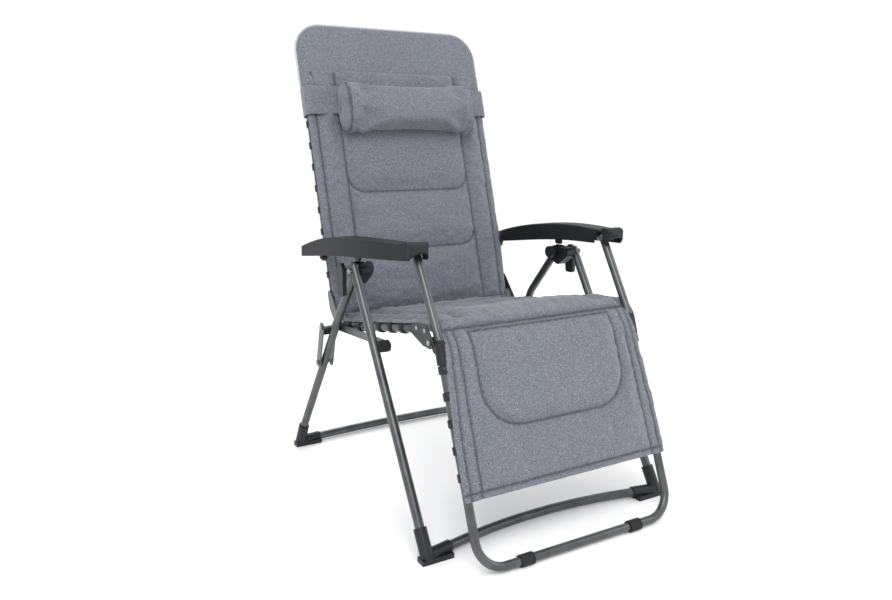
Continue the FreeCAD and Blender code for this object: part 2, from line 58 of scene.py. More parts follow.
import bmesh
import bpy
import numpy as np
from mathutils import Matrix, Vector, noise
from mathutils.bvhtree import BVHTree

MM = 0.001
JOINT_AT = {joint["name"]: joint for joint in frame["joints"]}


# Camera, floor and light.
# A plain pale studio: a large soft key from the front, a fill and a back light, on a white floor
# in a white surround.
def pivot(name):
    return Vector(JOINT_AT[name]["pos_m"])


def linear(hex_colour):
    """A linear RGBA colour from an sRGB hex string."""
    channels = [int(hex_colour[k:k + 2], 16) / 255 for k in (1, 3, 5)]
    return [c / 12.92 if c <= 0.04045 else ((c + 0.055) / 1.055) ** 2.4 for c in channels] + [1]


def add(tree, kind, values=(), links=(), **settings):
    """Adds a node with its settings, its input values and the sockets linked to its inputs."""
    node = tree.nodes.new(kind)
    for key, value in settings.items():
        setattr(node, key, value)
    for socket, value in dict(values).items():
        node.inputs[socket].default_value = value
    for socket, source in dict(links).items():
        tree.links.new(source, node.inputs[socket])
    return node


def new_object(name, mesh, smooth=True):
    thing = bpy.data.objects.new(name, mesh)
    bpy.context.scene.collection.objects.link(thing)
    if smooth:
        mesh.polygons.foreach_set("use_smooth", [True] * len(mesh.polygons))
    return thing


# The front leg pivot is 33 mm in front of the origin that the side-view sizes are drawn from.
SHIFT = pivot("fold").y + 33 * MM
LENS = 31.98
CAMERA_AT = (-1.0923, -1.7737 + SHIFT, 0.9173)
CAMERA_AIM = (-0.0537, 0.0172 + SHIFT, 0.4814)
CAMERA_ROLL = math.radians(0.18)
FLOOR_HALF = 60
camera_data = bpy.data.cameras.new("studio_camera")
camera_data.lens = LENS
camera = bpy.data.objects.new("studio_camera", camera_data)
bpy.context.scene.collection.objects.link(camera)
camera.location = CAMERA_AT
look = Vector(CAMERA_AIM) - camera.location
camera.rotation_euler = (look.to_track_quat("-Z", "Y") @
                         Matrix.Rotation(CAMERA_ROLL, 3, "Z").to_quaternion()).to_euler()
bpy.context.scene.camera = camera

floor_mesh = bpy.data.meshes.new("studio_floor")
floor_corners = [(x * FLOOR_HALF, y * FLOOR_HALF, 0) for x, y in ((-1, -1), (1, -1), (1, 1), (-1, 1))]
floor_mesh.from_pydata(floor_corners, [], [(0, 1, 2, 3)])
floor = new_object("studio_floor", floor_mesh, smooth=False)
paper = bpy.data.materials.new("white_studio_floor")
paper.use_nodes = True
surface = paper.node_tree.nodes["Principled BSDF"]
surface.inputs["Base Color"].default_value = linear("#ffffff")
surface.inputs["Roughness"].default_value = 0.9
floor_mesh.materials.append(paper)

world = bpy.data.worlds.new("white_surround")
bpy.context.scene.world = world
world.use_nodes = True
world.node_tree.nodes["Background"].inputs["Color"].default_value = linear("#ffffff")
world.node_tree.nodes["Background"].inputs["Strength"].default_value = 1.0
bpy.context.scene.view_settings.view_transform = "Standard"

for name, place, aim, power, span in (
        ("key_light", (-1.6, -2.4, 3.0), (0, 0, 0.5), 62, 1.8),
        ("fill_light", (2.8, -1.6, 1.8), (0, 0, 0.6), 22, 1.6),
        ("back_light", (0.6, 2.6, 2.4), (0, 0, 0.7), 26, 1.6)):
    lamp_data = bpy.data.lights.new(name, "AREA")
    lamp_data.energy, lamp_data.size = power, span
    lamp = bpy.data.objects.new(name, lamp_data)
    lamp.location = place
    lamp.rotation_euler = (Vector(aim) - Vector(place)).to_track_quat("-Z", "Y").to_euler()
    bpy.context.scene.collection.objects.link(lamp)


# Steel tube frames.
# Drawn steel tube with a gunmetal powder coat: a satin metallic film with a very fine grain
# that breaks up its highlights, a little duller in soft patches.
def coated_steel(name, colour, rough, metal):
    material = bpy.data.materials.new(name)
    material.use_nodes = True
    tree = material.node_tree
    shader = tree.nodes["Principled BSDF"]
    shader.inputs["Metallic"].default_value = metal
    shader.inputs["Coat Weight"].default_value = 0.25
    shader.inputs["Coat Roughness"].default_value = 0.22
    where = add(tree, "ShaderNodeTexCoord").outputs["Object"]
    grain = add(tree, "ShaderNodeTexNoise", {"Scale": 1400, "Detail": 2}, {"Vector": where})
    patch = add(tree, "ShaderNodeTexNoise", {"Scale": 26, "Detail": 4}, {"Vector": where})
    ramp = add(tree, "ShaderNodeValToRGB", links={"Fac": patch.outputs["Fac"]})
    ramp.color_ramp.elements[0].color = linear(colour[0])
    ramp.color_ramp.elements[1].color = linear(colour[1])
    ramp.color_ramp.elements[0].position, ramp.color_ramp.elements[1].position = 0.35, 0.65
    tree.links.new(ramp.outputs["Color"], shader.inputs["Base Color"])
    spread = add(tree, "ShaderNodeMapRange", {"To Min": rough - 0.05, "To Max": rough + 0.09},
                 {"Value": patch.outputs["Fac"]})
    tree.links.new(spread.outputs["Result"], shader.inputs["Roughness"])
    bump = add(tree, "ShaderNodeBump", {"Strength": 0.12, "Distance": 0.0004},
               {"Height": grain.outputs["Fac"]})
    tree.links.new(bump.outputs["Normal"], shader.inputs["Normal"])
    return material


def moulded(name, dark, light, rough, grain_scale):
    """Injection moulded plastic with a fine spark-eroded grain and a slightly cloudy tone."""
    material = bpy.data.materials.new(name)
    material.use_nodes = True
    tree = material.node_tree
    shader = tree.nodes["Principled BSDF"]
    shader.inputs["IOR"].default_value = 1.5
    shader.inputs["Specular IOR Level"].default_value = 0.42
    where = add(tree, "ShaderNodeTexCoord").outputs["Object"]
    grain = add(tree, "ShaderNodeTexNoise", {"Scale": grain_scale, "Detail": 3},
                {"Vector": where})
    cloud = add(tree, "ShaderNodeTexNoise", {"Scale": 14, "Detail": 3}, {"Vector": where})
    both = add(tree, "ShaderNodeMath", {1: 0.35}, {0: grain.outputs["Fac"]},
               operation="MULTIPLY")
    mixed = add(tree, "ShaderNodeMath", links={0: both.outputs[0], 1: cloud.outputs["Fac"]},
                operation="ADD")
    ramp = add(tree, "ShaderNodeValToRGB", links={"Fac": mixed.outputs[0]})
    ramp.color_ramp.elements[0].color = linear(dark)
    ramp.color_ramp.elements[1].color = linear(light)
    ramp.color_ramp.elements[0].position, ramp.color_ramp.elements[1].position = 0.45, 0.85
    tree.links.new(ramp.outputs["Color"], shader.inputs["Base Color"])
    spread = add(tree, "ShaderNodeMapRange", {"To Min": rough - 0.06, "To Max": rough + 0.1},
                 {"Value": cloud.outputs["Fac"]})
    tree.links.new(spread.outputs["Result"], shader.inputs["Roughness"])
    bump = add(tree, "ShaderNodeBump", {"Strength": 0.3, "Distance": 0.0003},
               {"Height": grain.outputs["Fac"]})
    tree.links.new(bump.outputs["Normal"], shader.inputs["Normal"])
    return material


gunmetal = coated_steel("gunmetal_powder_coated_steel", ("#4c4f51", "#5b5e60"), 0.36, 0.8)
dark_steel = coated_steel("black_powder_coated_steel", ("#1c1d20", "#24262a"), 0.42, 0.3)
zinc = coated_steel("zinc_plated_rivet", ("#8d9095", "#b3b6ba"), 0.28, 0.95)
nylon = moulded("blue_black_moulded_nylon", "#0c0e13", "#191d26", 0.44, 900)
arm_plastic = moulded("charcoal_moulded_armrest", "#08090c", "#13151a", 0.6, 1100)
rubber = moulded("black_moulded_rubber", "#0e0e10", "#1d1d20", 0.7, 700)

FINISHES = {"frame_tube": gunmetal, "bracket_steel": gunmetal, "black_steel": dark_steel,
            "rivet_steel": zinc, "moulded_plastic": nylon, "armrest_plastic": arm_plastic,
            "rubber": rubber}
for part in frame["record"]["subparts"]:
    node = frame["nodes"][part["node"]]
    if part["material_slot"] in FINISHES:
        node.data.materials.clear()
        node.data.materials.append(FINISHES[part["material_slot"]])


# Padded sling.
# A heathered blue-grey polyester weave over foam, sewn through along its seams so that each
# field puffs up between them. Four panels are sewn end to end from the hood to the hem.
def heather(name, stops, seam_shade_depth=0.0):
    """Melange weave: pale and dark yarns mixed in short streaks, with a relief of the same yarns.
    Its yarns are drawn three times too coarse, so that they show from a few steps away."""
    material = bpy.data.materials.new(name)
    material.use_nodes = True
    tree = material.node_tree
    shader = tree.nodes["Principled BSDF"]
    shader.inputs["Roughness"].default_value = 0.94
    shader.inputs["Specular IOR Level"].default_value = 0.15
    shader.inputs["Sheen Weight"].default_value = 0.25
    shader.inputs["Sheen Roughness"].default_value = 0.5
    where = add(tree, "ShaderNodeTexCoord").outputs["Object"]
    across = add(tree, "ShaderNodeMapping", {"Scale": (300, 900, 900)}, {"Vector": where})
    upward = add(tree, "ShaderNodeMapping", {"Scale": (900, 320, 320)}, {"Vector": where})
    yarns = []
    for stretched in (across, upward):
        yarns.append(add(tree, "ShaderNodeTexNoise", {"Scale": 1.0, "Detail": 2.5},
                         {"Vector": stretched.outputs["Vector"]}).outputs["Fac"])
    fleck = add(tree, "ShaderNodeMath", links={0: yarns[0], 1: yarns[1]}, operation="ADD")
    half = add(tree, "ShaderNodeMath", {1: 0.5}, {0: fleck.outputs[0]}, operation="MULTIPLY")
    ramp = add(tree, "ShaderNodeValToRGB", links={"Fac": half.outputs[0]})
    first, last = ramp.color_ramp.elements
    first.color, first.position = linear(stops[0][0]), stops[0][1]
    last.color, last.position = linear(stops[-1][0]), stops[-1][1]
    for colour, place in stops[1:-1]:
        ramp.color_ramp.elements.new(place).color = linear(colour)
    cloud = add(tree, "ShaderNodeTexNoise", {"Scale": 9, "Detail": 4}, {"Vector": where})
    shade = add(tree, "ShaderNodeMapRange", {"To Min": 0.92, "To Max": 1.06},
                {"Value": cloud.outputs["Fac"]})
    factor = shade.outputs["Result"]
    # Painted shade: the base colour is darkened along the sewn seams, marked by the seam attribute, in place of
    # the shadow that falls into the dips of the puffed cloth.
    if seam_shade_depth:
        line = add(tree, "ShaderNodeAttribute", attribute_name="seam")
        painted_seam_shade = add(tree, "ShaderNodeMapRange", {"To Min": 1.0, "To Max": 1 - seam_shade_depth},
                     {"Value": line.outputs["Fac"]})
        factor = add(tree, "ShaderNodeMath", links={0: factor, 1: painted_seam_shade.outputs["Result"]},
                     operation="MULTIPLY").outputs[0]
    toned = add(tree, "ShaderNodeVectorMath", links={0: ramp.outputs["Color"]},
                operation="SCALE")
    tree.links.new(factor, toned.inputs["Scale"])
    tree.links.new(toned.outputs["Vector"], shader.inputs["Base Color"])
    bump = add(tree, "ShaderNodeBump", {"Strength": 0.4, "Distance": 0.0008},
               {"Height": half.outputs[0]})
    tree.links.new(bump.outputs["Normal"], shader.inputs["Normal"])
    return material


GREYS = (("#4c4f57", 0.36), ("#62656e", 0.46), ("#757882", 0.54), ("#989ca6", 0.66))
# The sling's weave carries painted seam shade, darkened along every seam line.
weave = heather("heathered_weave_painted_seam_shade", GREYS, seam_shade_depth=0.62)
thread = moulded("slate_polyester_thread", "#4a4d55", "#62656e", 0.8, 2400)

UP_BACK = Vector(JOINT_AT["pillow_slide"]["axis"]).normalized()
BACK_OUT = Vector((0, -UP_BACK.z, UP_BACK.y))
HIP, KNEE, ARM_REAR = pivot("recline"), pivot("knee_lift"), pivot("arm_level")
BACK_LINE = Vector((0, ARM_REAR.y, ARM_REAR.z))
SEAT_SLOPE = math.radians(11.26)
SEAT_RUN = Vector((0, -math.cos(SEAT_SLOPE), math.sin(SEAT_SLOPE)))
SEAT_UP = Vector((0, math.sin(SEAT_SLOPE), math.cos(SEAT_SLOPE)))
SEAT_LINE = Vector((0, HIP.y, HIP.z - 2 * MM))
LEG_SLOPE = math.radians(21.02)
LEG_RUN = Vector((0, -math.sin(LEG_SLOPE), -math.cos(LEG_SLOPE)))
LEG_OUT = Vector((0, -math.cos(LEG_SLOPE), math.sin(LEG_SLOPE)))
LEG_LINE = Vector((0, -344.5 * MM + SHIFT, 438 * MM))


def meeting(start, run, other, other_run):
    """Where two lines of the side view cross."""
    cross = run.y * other_run.z - run.z * other_run.y
    away = other - start
    return start + run * ((away.y * other_run.z - away.z * other_run.y) / cross)


CREASE = meeting(BACK_LINE, UP_BACK, SEAT_LINE, SEAT_RUN)
KNEE_LINE = meeting(SEAT_LINE, SEAT_RUN, LEG_LINE, LEG_RUN)
HEM = 303 * MM


def rounded_corner(before, corner, after, reach, steps=14):
    """Points of a quadratic bend that starts and ends at reach from a corner."""
    one = corner + (before - corner).normalized() * reach
    two = corner + (after - corner).normalized() * reach
    return [one.lerp(corner, k / steps).lerp(corner.lerp(two, k / steps), k / steps)
            for k in range(steps + 1)]


class Sling:
    """The sling's middle line in the side view, as a path measured from the top of the back."""

    def __init__(self):
        top = BACK_LINE + UP_BACK * 520 * MM
        hem = KNEE_LINE + LEG_RUN * (HEM + 90 * MM)
        line = [top, *rounded_corner(top, CREASE, KNEE_LINE, 52 * MM),
                *rounded_corner(CREASE, KNEE_LINE, hem, 70 * MM), hem]
        self.points = line
        steps = [(b - a).length for a, b in zip(line, line[1:])]
        self.along = np.concatenate([[0], np.cumsum(steps)])
        self.crease_at = self.along[1 + 7]
        self.knee_at = self.along[1 + 15 + 7]
        self.length = self.along[-1]

    def at(self, s):
        """The point and the outward normal at a distance along the path."""
        s = min(max(s, 0), self.length)
        place = Vector([np.interp(s, self.along, [p[k] for p in self.points]) for k in range(3)])
        near, far = max(s - 6 * MM, 0), min(s + 6 * MM, self.length)
        a = Vector([np.interp(near, self.along, [p[k] for p in self.points]) for k in range(3)])
        b = Vector([np.interp(far, self.along, [p[k] for p in self.points]) for k in range(3)])
        run = (b - a).normalized()
        return place, Vector((0, run.z, -run.y))


sling = Sling()


def seam_distance(points, seams):
    """The distance from each (x, s) point to the nearest run of any seam, all in metres."""
    best = np.full(len(points), 1.0)
    for seam in seams:
        for one, two in zip(seam, seam[1:]):
            a, b = np.array(one), np.array(two)
            run = b - a
            part = np.clip(((points - a) @ run) / max(run @ run, 1e-12), 0, 1)
            best = np.minimum(best, np.linalg.norm(points - a - part[:, None] * run, axis=1))
    return best


def u_seam(left, right, top, bottom, corner, steps=8):
    """A seam down one side, round two corners and up the other side, as (x, s) points."""
    points = [(left, top)]
    for turn in range(steps + 1):
        angle = math.pi / 2 * turn / steps
        points.append((left + corner * (1 - math.cos(angle)),
                       bottom - corner * (1 - math.sin(angle))))
    for turn in range(steps + 1):
        angle = math.pi / 2 * (1 - turn / steps)
        points.append((right - corner * (1 - math.cos(angle)),
                       bottom - corner * (1 - math.sin(angle))))
    return points + [(right, top)]


def smooth_step(value):
    clipped = min(max(value, 0), 1)
    return clipped * clipped * (3 - 2 * clipped)


def closed_skin(name, front, back, rows, width):
    """A mesh from two grids of points, front and back, joined round their rim."""
    count = len(front)
    faces = []
    for i in range(rows):
        for j in range(width - 1):
            a = i * width + j
            quad = (a, a + 1, a + width + 1, a + width)
            faces += [quad, tuple(count + v for v in reversed(quad))]
    rim = [*range(width), *[i * width + width - 1 for i in range(1, rows + 1)],
           *[rows * width + j for j in range(width - 2, -1, -1)],
           *[i * width for i in range(rows - 1, 0, -1)]]
    for one, two in zip(rim, rim[1:] + rim[:1]):
        faces.append((two, one, count + one, count + two))
    mesh = bpy.data.meshes.new(name)
    mesh.from_pydata([tuple(v) for v in front + back], [], faces)
    build = bmesh.new()
    build.from_mesh(mesh)
    bmesh.ops.recalc_face_normals(build, faces=build.faces)
    build.to_mesh(mesh)
    build.free()
    return mesh


def inflate(thing, pinned, pressure, cap, frames=20, slack=0.0):
    """Blows a skin up as cloth, held where pinned, and limits how far a point may move."""
    group = thing.vertex_groups.new(name="pinned")
    for index, weight in enumerate(pinned):
        group.add([index], float(weight), "REPLACE")
    before = np.array([v.co for v in thing.data.vertices])
    cloth = thing.modifiers.new("cloth", "CLOTH")
    cloth.settings.vertex_group_mass = "pinned"
    cloth.settings.quality = 5
    cloth.settings.tension_stiffness = cloth.settings.compression_stiffness = 12
    cloth.settings.bending_stiffness = 0.4
    cloth.settings.use_pressure = True
    cloth.settings.uniform_pressure_force = pressure
    cloth.settings.effector_weights.gravity = 0
    cloth.settings.shrink_min = -slack
    cloth.collision_settings.use_collision = False
    cloth.point_cache.frame_start, cloth.point_cache.frame_end = 1, frames
    scene = bpy.context.scene
    for number in range(1, frames + 1):
        scene.frame_set(number)
    graph = bpy.context.evaluated_depsgraph_get()
    after = np.array([v.co for v in thing.evaluated_get(graph).data.vertices])
    thing.modifiers.remove(cloth)
    thing.vertex_groups.clear()
    scene.frame_set(1)
    move = after - before
    far = np.linalg.norm(move, axis=1)
    move *= np.minimum(1, cap / np.maximum(far, 1e-9))[:, None]
    thing.data.vertices.foreach_set("co", (before + move).ravel())
    thing.data.update()


def subdivided(thing):
    """The thing's mesh after one smooth subdivision."""
    modifier = thing.modifiers.new("smooth", "SUBSURF")
    modifier.levels = modifier.render_levels = 1
    graph = bpy.context.evaluated_depsgraph_get()
    mesh = bpy.data.meshes.new_from_object(thing.evaluated_get(graph))
    thing.modifiers.remove(modifier)
    thing.data = mesh
    mesh.polygons.foreach_set("use_smooth", [True] * len(mesh.polygons))


def repeats(name, places, template, material, jitter=0.0):
    """Copies of a template at (place, rotation) pairs, by Geometry Nodes, as one mesh."""
    mesh = bpy.data.meshes.new(name)
    mesh.from_pydata([tuple(place) for place, _ in places], [], [])
    turns = mesh.attributes.new("turn", "FLOAT_VECTOR", "POINT")
    turns.data.foreach_set("vector", [a for _, turn in places for a in turn.to_euler()])
    holder = bpy.data.objects.new(name, mesh)
    pattern = bpy.data.objects.new(name + "_pattern", template)
    for thing in (holder, pattern):
        bpy.context.scene.collection.objects.link(thing)
    tree = bpy.data.node_groups.new(name + "_repeats", "GeometryNodeTree")
    tree.interface.new_socket("Places", in_out="INPUT", socket_type="NodeSocketGeometry")
    pattern_in = tree.interface.new_socket("Pattern", in_out="INPUT",
                                           socket_type="NodeSocketObject")
    jitter_in = tree.interface.new_socket("Jitter", in_out="INPUT", socket_type="NodeSocketFloat")
    seed_in = tree.interface.new_socket("Seed", in_out="INPUT", socket_type="NodeSocketInt")
    tree.interface.new_socket("Mesh", in_out="OUTPUT", socket_type="NodeSocketGeometry")
    given = add(tree, "NodeGroupInput")
    shape = add(tree, "GeometryNodeObjectInfo", links={"Object": given.outputs["Pattern"]})
    turn = add(tree, "GeometryNodeInputNamedAttribute", {"Name": "turn"},
               data_type="FLOAT_VECTOR")
    wobble = add(tree, "FunctionNodeRandomValue", links={"Seed": given.outputs["Seed"]},
                 data_type="FLOAT")
    wide = add(tree, "ShaderNodeMath", {0: 1.0}, {1: given.outputs["Jitter"]},
               operation="ADD")
    floats = [socket for socket in wobble.inputs if socket.type == "VALUE"]
    floats[0].default_value = 1.0
    tree.links.new(wide.outputs[0], floats[1])
    spread = add(tree, "GeometryNodeInstanceOnPoints",
                 links={"Points": given.outputs["Places"], "Instance": shape.outputs["Geometry"],
                        "Rotation": turn.outputs["Attribute"],
                        "Scale": wobble.outputs["Value"]})
    real = add(tree, "GeometryNodeRealizeInstances",
               links={"Geometry": spread.outputs["Instances"]})
    finish = add(tree, "GeometryNodeSetMaterial", {"Material": material},
                 {"Geometry": real.outputs["Geometry"]})
    out = add(tree, "NodeGroupOutput", links={"Mesh": finish.outputs["Geometry"]})
    modifier = holder.modifiers.new("repeats", "NODES")
    modifier.node_group = tree
    modifier[pattern_in.identifier] = pattern
    modifier[jitter_in.identifier] = jitter
    modifier[seed_in.identifier] = 5
    graph = bpy.context.evaluated_depsgraph_get()
    made = bpy.data.meshes.new_from_object(holder.evaluated_get(graph))
    made.name = name
    for thing in (holder, pattern):
        bpy.data.objects.remove(thing)
    made.materials.clear()
    made.materials.append(material)
    made.polygons.foreach_set("use_smooth", [True] * len(made.polygons))
    return made


def capsule(length, wide, high):
    """A little closed pad, longest along X: one stitch of thread, or one rib of a knob."""
    ball = bmesh.new()
    bmesh.ops.create_uvsphere(ball, u_segments=8, v_segments=5, radius=0.5)
    bmesh.ops.scale(ball, vec=(length, wide, high), verts=ball.verts)
    mesh = bpy.data.meshes.new("stitch_pattern")
    ball.to_mesh(mesh)
    ball.free()
    return mesh


def stitch_places(thing, runs, pitch):
    """Places along (x, s) runs of the sling, dropped on to a panel's outer face."""
    surface = BVHTree.FromPolygons([v.co for v in thing.data.vertices],
                                   [p.vertices for p in thing.data.polygons])
    places = []
    for run in runs:
        for one, two in zip(run, run[1:]):
            reach = math.hypot(two[0] - one[0], two[1] - one[1])
            for k in range(int(reach / pitch)):
                share = (k + 0.5) * pitch / reach
                x = one[0] + (two[0] - one[0]) * share
                s = one[1] + (two[1] - one[1]) * share
                place, out = sling.at(s)
                place.x = x
                ahead = sling.at(s + 2 * MM)[0] - sling.at(s - 2 * MM)[0]
                along = (Vector(((two[0] - one[0]), 0, 0)) +
                         ahead.normalized() * (two[1] - one[1])).normalized()
                hit = surface.ray_cast(place + out * 80 * MM, -out, 0.12)[0]
                if hit:
                    across = out.cross(along).normalized()
                    turn = Matrix((along, across, along.cross(across))).transposed()
                    places.append((hit + out * 0.2 * MM, turn))
    return places


def joined(thing, extra):
    """Adds another mesh to a piece as its second material."""
    build = bmesh.new()
    build.from_mesh(thing.data)
    first = len(build.faces)
    build.from_mesh(extra)
    build.faces.ensure_lookup_table()
    for face in build.faces[first:]:
        face.material_index = 1
    build.to_mesh(thing.data)
    build.free()
    thing.data.materials.append(extra.materials[0])


def panel(name, start, end, half_at, seams, full, seed, node=None, edge_seam=24):
    """One sewn panel of the sling: a closed padded skin between two distances along it."""
    step = 8 * MM
    rows = max(int((end - start) / step), 8)
    width = int(2 * half_at((start + end) / 2) / step) + 1
    flat = np.array([(half_at(start + (end - start) * i / rows) * (2 * j / (width - 1) - 1),
                      start + (end - start) * i / rows)
                     for i in range(rows + 1) for j in range(width)])
    halves = np.array([half_at(s) for s in flat[:, 1]])
    inward = halves - np.abs(flat[:, 0])
    near = np.minimum(seam_distance(flat, seams), np.abs(inward - edge_seam * MM))
    puff = 1 - np.exp(-(near / (13 * MM)) ** 1.15)
    rounded = np.sqrt(1 - (1 - np.clip(inward / (9 * MM), 0, 1)) ** 2)
    wide = full * np.clip(inward / (60 * MM), 0.35, 1)
    front, back = [], []
    for k, (x, s) in enumerate(flat):
        place, out = sling.at(s)
        place.x = x
        lift = (15.5 * MM + wide[k] * puff[k]) * rounded[k] + 12.6 * MM * (1 - rounded[k])
        middle = smooth_step((inward[k] - 30 * MM) / (22 * MM))
        low = min(12.2 * MM - 19 * MM * middle, lift - 1.5 * MM)
        front.append(place + out * (lift - sag(x, s)))
        back.append(place + out * (low - sag(x, s)))
    mesh = closed_skin(name, front, back, rows, width)
    thing = new_object(name, mesh)
    for key, column in (("across", 0), ("along", 1)):
        values = np.concatenate([flat[:, column]] * 2).astype(np.float32)
        mesh.attributes.new(key, "FLOAT", "POINT").data.foreach_set("value", values)
    facing = np.concatenate([np.ones(len(flat)), np.zeros(len(flat))]).astype(np.float32)
    mesh.attributes.new("outer", "FLOAT", "POINT").data.foreach_set("value", facing)
    hold = np.exp(-(near / (6.5 * MM)) ** 2) * 1.3
    edge = np.minimum(inward, np.minimum(flat[:, 1] - start, end - flat[:, 1]))
    hold = np.maximum(hold, edge < 6 * MM)
    inflate(thing, np.concatenate([np.clip(hold, 0, 1), np.ones(len(flat))]),
            pressure=3.0, cap=7 * MM, slack=0.035)
    subdivided(thing)
    mesh = thing.data
    mesh.name = name
    count = len(mesh.vertices)
    across, along, outer = (np.empty(count, np.float32) for _ in range(3))
    mesh.attributes["across"].data.foreach_get("value", across)
    mesh.attributes["along"].data.foreach_get("value", along)
    mesh.attributes["outer"].data.foreach_get("value", outer)
    place = np.stack([across, along], axis=1)
    inward = np.array([half_at(s) for s in along]) - np.abs(across)
    near = np.minimum(seam_distance(place, seams), np.abs(inward - edge_seam * MM))
    line = np.exp(-(near / (3.0 * MM)) ** 2) * outer
    # This seam mask also drives the weave's painted shade, darkening the cloth along each seam as well as sinking
    # it there.
    mesh.attributes.new("seam", "FLOAT", "POINT").data.foreach_set(
        "value", line.astype(np.float32))
    calm = 1 - np.exp(-(near / (10 * MM)) ** 1.5)
    for k, vertex in enumerate(mesh.vertices):
        if outer[k] < 0.5:
            continue
        x, s = float(across[k]), float(along[k])
        pucker = math.exp(-near[k] / (20 * MM)) * noise.noise(Vector((x * 62, s * 62, seed)))
        rumple = noise.noise(Vector((x * 17, s * 30, seed + 7)))
        fine = noise.noise(Vector((x * 40, s * 66, seed + 11)))
        out = sling.at(s)[1]
        end_calm = smooth_step(min(s - start, end - s) / (12 * MM))
        lift = (3.4 * pucker + (3.0 * rumple + 1.5 * fine) * calm[k] * end_calm) * MM
        vertex.co += out * (lift - 1.6 * MM * line[k])
    for key in ("across", "along", "outer"):
        mesh.attributes.remove(mesh.attributes[key])
    mesh.materials.append(weave)
    inside = [[(x, min(max(s, start + 3 * MM), end - 3 * MM)) for x, s in run]
              for run in seams if min(s for _, s in run) < end and max(s for _, s in run) > start]
    joined(thing, repeats(name + "_stitches", stitch_places(thing, inside, 6.5 * MM),
                          capsule(4.2 * MM, 1.2 * MM, 1.2 * MM), thread, 0.15))
    if node:
        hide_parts(node)
    return thing


def sag(x, s):
    """How far the unloaded sling hangs below its frame between the hip and the knee."""
    place = (s - sling.crease_at) / (sling.knee_at - sling.crease_at)
    if not 0 < place < 1:
        return 0.0
    return 7 * MM * math.sin(math.pi * place) ** 1.5 * max(1 - (x / (250 * MM)) ** 2, 0)


def back_half_at(s):
    return 289 * MM - 6 * MM * min(max((s - 560 * MM) / (130 * MM), 0), 1)


crease, knee = sling.crease_at, sling.knee_at
seat_split = crease + 0.45 * (knee - crease)
hem_at = knee + HEM + 62 * MM
side = 197 * MM
first_cross, second_cross = 520 * MM - 168 * MM, 520 * MM + 2 * MM
back_seams = [[(-side, 0), (-side, crease)], [(side, 0), (side, crease)],
              u_seam(-side, side, first_cross - 70 * MM, first_cross, 52 * MM),
              u_seam(-side, side, second_cross - 70 * MM, second_cross, 52 * MM),
              [(-290 * MM, crease - 16 * MM), (290 * MM, crease - 16 * MM)]]
back_panel = panel("back_panel", 0.0, crease, back_half_at, back_seams, 13 * MM, 1, "back_pad")
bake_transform(back_panel)
seat_seams = [[(-side, crease), (-side, knee - 30 * MM)], [(side, crease), (side, knee - 30 * MM)],
              [(-side, crease + 120 * MM), (side, crease + 120 * MM)],
              [(-side, seat_split + 110 * MM), (side, seat_split + 110 * MM)],
              [(-290 * MM, seat_split), (290 * MM, seat_split)]]


def seat_half(s):
    return 283 * MM


seat_rear = panel("seat_rear_panel", crease, seat_split, seat_half, seat_seams, 12 * MM, 2,
                  "seat_pad")
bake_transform(seat_rear)
seat_front = panel("seat_front_panel", seat_split, knee, seat_half, seat_seams, 12 * MM, 3)
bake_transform(seat_front)
leg_side = 200 * MM
leg_top, leg_foot = knee + 12 * MM, knee + 226 * MM
leg_seams = [u_seam(-leg_side, leg_side, leg_top, leg_foot, 92 * MM),
             [(-leg_side, leg_top), (leg_side, leg_top)],
             [(-290 * MM, hem_at - 16 * MM), (290 * MM, hem_at - 16 * MM)],
             [(-290 * MM, knee + 3 * MM), (290 * MM, knee + 3 * MM)],
             [(-235 * MM, knee), (-243 * MM, hem_at)], [(235 * MM, knee), (243 * MM, hem_at)]]


def leg_half(s):
    return 271 * MM + 15 * MM * smooth_step((s - knee) / (300 * MM))


leg_panel = panel("leg_panel", knee, hem_at, leg_half, leg_seams, 9 * MM, 4, "leg_pad", 17)
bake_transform(leg_panel)


# Hood, strap and piping.
# A pocket of the same cloth is slipped over the top of the back frame and bound with pale
# piping; a flat band of it goes round the back and carries the pillow.
def on_back(x, along, out=0.0):
    """A point of the back, from the rear arm pivot's height along it and outward from it."""
    place = BACK_LINE + UP_BACK * along * MM + BACK_OUT * out * MM
    place.x = x * MM
    return place


HOOD_LOW, HOOD_TOP, HOOD_HALF, HOOD_CORNER = 470, 660, 294, 82


def hood_rim(x, along):
    """How far inside the hood's outline a point is, in millimetres."""
    dx, dy = HOOD_HALF - abs(x), HOOD_TOP - along
    if dx < HOOD_CORNER and dy < HOOD_CORNER:
        return HOOD_CORNER - math.hypot(HOOD_CORNER - dx, HOOD_CORNER - dy)
    return min(dx, dy)


hood_columns, hood_rows = 96, 34
hood_front, hood_back = [], []
for i in range(hood_rows + 1):
    along = HOOD_LOW + (HOOD_TOP - HOOD_LOW) * i / hood_rows
    drop = max(HOOD_CORNER - (HOOD_TOP - along), 0)
    half = HOOD_HALF - HOOD_CORNER + math.sqrt(max(HOOD_CORNER ** 2 - drop ** 2, 0))
    for j in range(hood_columns + 1):
        x = half * (2 * j / hood_columns - 1)
        depth = max(hood_rim(x, along), 0)
        share = min(depth / 19, 1)
        thick = 16.5 * math.sqrt(1 - (1 - share) ** 2)
        flow = noise.noise(Vector((x * 0.012, along * 0.02, 4.0)))
        folds = noise.noise(Vector((x * 0.05, along * 0.012, 8.0)))
        front = thick + (3.2 * flow + 1.6 * folds) * min(depth / 40, 1)
        hood_front.append(on_back(x, along, max(front, 0.25)))
        hood_back.append(on_back(x, along, -max(thick * 0.92 + 1.5 * flow * share, 0.25)))
hood_mesh = closed_skin("hood_pocket", hood_front, hood_back, hood_rows, hood_columns + 1)
hood = new_object("hood_pocket", hood_mesh)
subdivided(hood)
plain_weave = heather("heathered_hood_weave", GREYS)
hood.data.materials.append(plain_weave)
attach(hood, "back")


